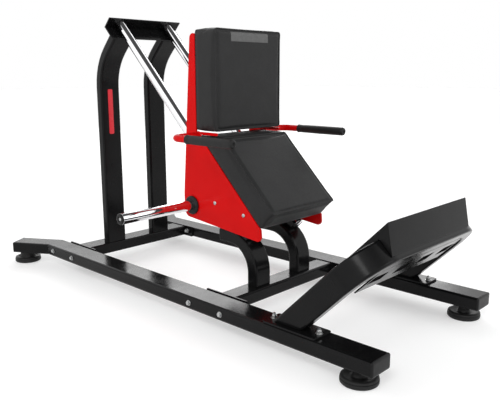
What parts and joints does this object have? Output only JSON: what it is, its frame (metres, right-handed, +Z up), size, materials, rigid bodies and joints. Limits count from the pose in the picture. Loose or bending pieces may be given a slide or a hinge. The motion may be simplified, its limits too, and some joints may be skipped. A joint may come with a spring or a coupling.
{
  "type": "hack squat machine",
  "caption": "Hack squat machine: welded base with a sloping foot plate, two inclined chrome guide rods and a sliding padded carriage with weight sleeves.",
  "frame": {"origin": "on the floor under the centre of the bounding box, at rest, with the carriage on its rubber stops", "axes": "+Z up, +X along the machine's length towards the foot plate, +Y to the left of the person who stands on it"},
  "size_m": [2.42, 1.29, 1.363],
  "materials": {
    "black_paint": "gloss black powder coat",
    "red_paint": "gloss red powder coat",
    "chrome": "polished chrome plate",
    "zinc": "zinc-plated steel",
    "bronze": "plain bearing bronze",
    "rubber": "matt black moulded rubber",
    "plastic": "black moulded plastic",
    "vinyl": "grained charcoal upholstery vinyl over foam",
    "plywood": "raw plywood"
  },
  "bodies": {
    "frame": {"rail_left": "black_paint", "rail_right": "black_paint", "front_cross_tube": "black_paint", "rear_cross_tube": "black_paint", "upright_left": "black_paint", "upright_right": "black_paint", "top_bracket": "black_paint", "leg_left": "black_paint", "leg_right": "black_paint", "rod_saddle_left": "black_paint", "rod_saddle_right": "black_paint", "footplate_hoop": "black_paint", "hoop_base_plate_left": "black_paint", "hoop_base_plate_right": "black_paint", "foot_plate": "black_paint", "slotted_panel": "black_paint", "rail_cap_front_left": "plastic", "rail_cap_front_right": "plastic", "rail_cap_rear_left": "plastic", "rail_cap_rear_right": "plastic", "leg_cap_left": "plastic", "leg_cap_right": "plastic", "foot_front_left": "rubber", "foot_front_right": "rubber", "foot_rear_left": "rubber", "foot_rear_right": "rubber", "rubber_stop_left": "rubber", "rubber_stop_right": "rubber", "guide_rod_left": "chrome", "guide_rod_right": "chrome", "rod_screw_left": "zinc", "rod_screw_right": "zinc"},
    "carriage": {"side_plate_left": "red_paint", "side_plate_right": "red_paint", "seat_bar_lower": "red_paint", "seat_bar_upper": "red_paint", "back_bar_lower": "red_paint", "back_bar_upper": "red_paint", "horn_tube": "red_paint", "bearing_housing_left": "red_paint", "bearing_housing_right": "red_paint", "handle_left": "red_paint", "handle_right": "red_paint", "linear_bush_lower_left": "bronze", "linear_bush_lower_right": "bronze", "linear_bush_upper_left": "bronze", "linear_bush_upper_right": "bronze", "grip_left": "rubber", "grip_right": "rubber", "sleeve_collar_left": "rubber", "sleeve_collar_right": "rubber", "weight_sleeve_left": "chrome", "weight_sleeve_right": "chrome", "sleeve_cap_left": "plastic", "sleeve_cap_right": "plastic", "back_board": "plywood", "seat_board": "plywood", "back_pad": "vinyl", "seat_pad": "vinyl"}
  },
  "joints": [
    {"name": "carriage_slide", "type": "slide", "parent": "frame", "child": "carriage", "axis": [-0.7071, 0, 0.7071], "range_m": [0, 0.5]}
  ]
}
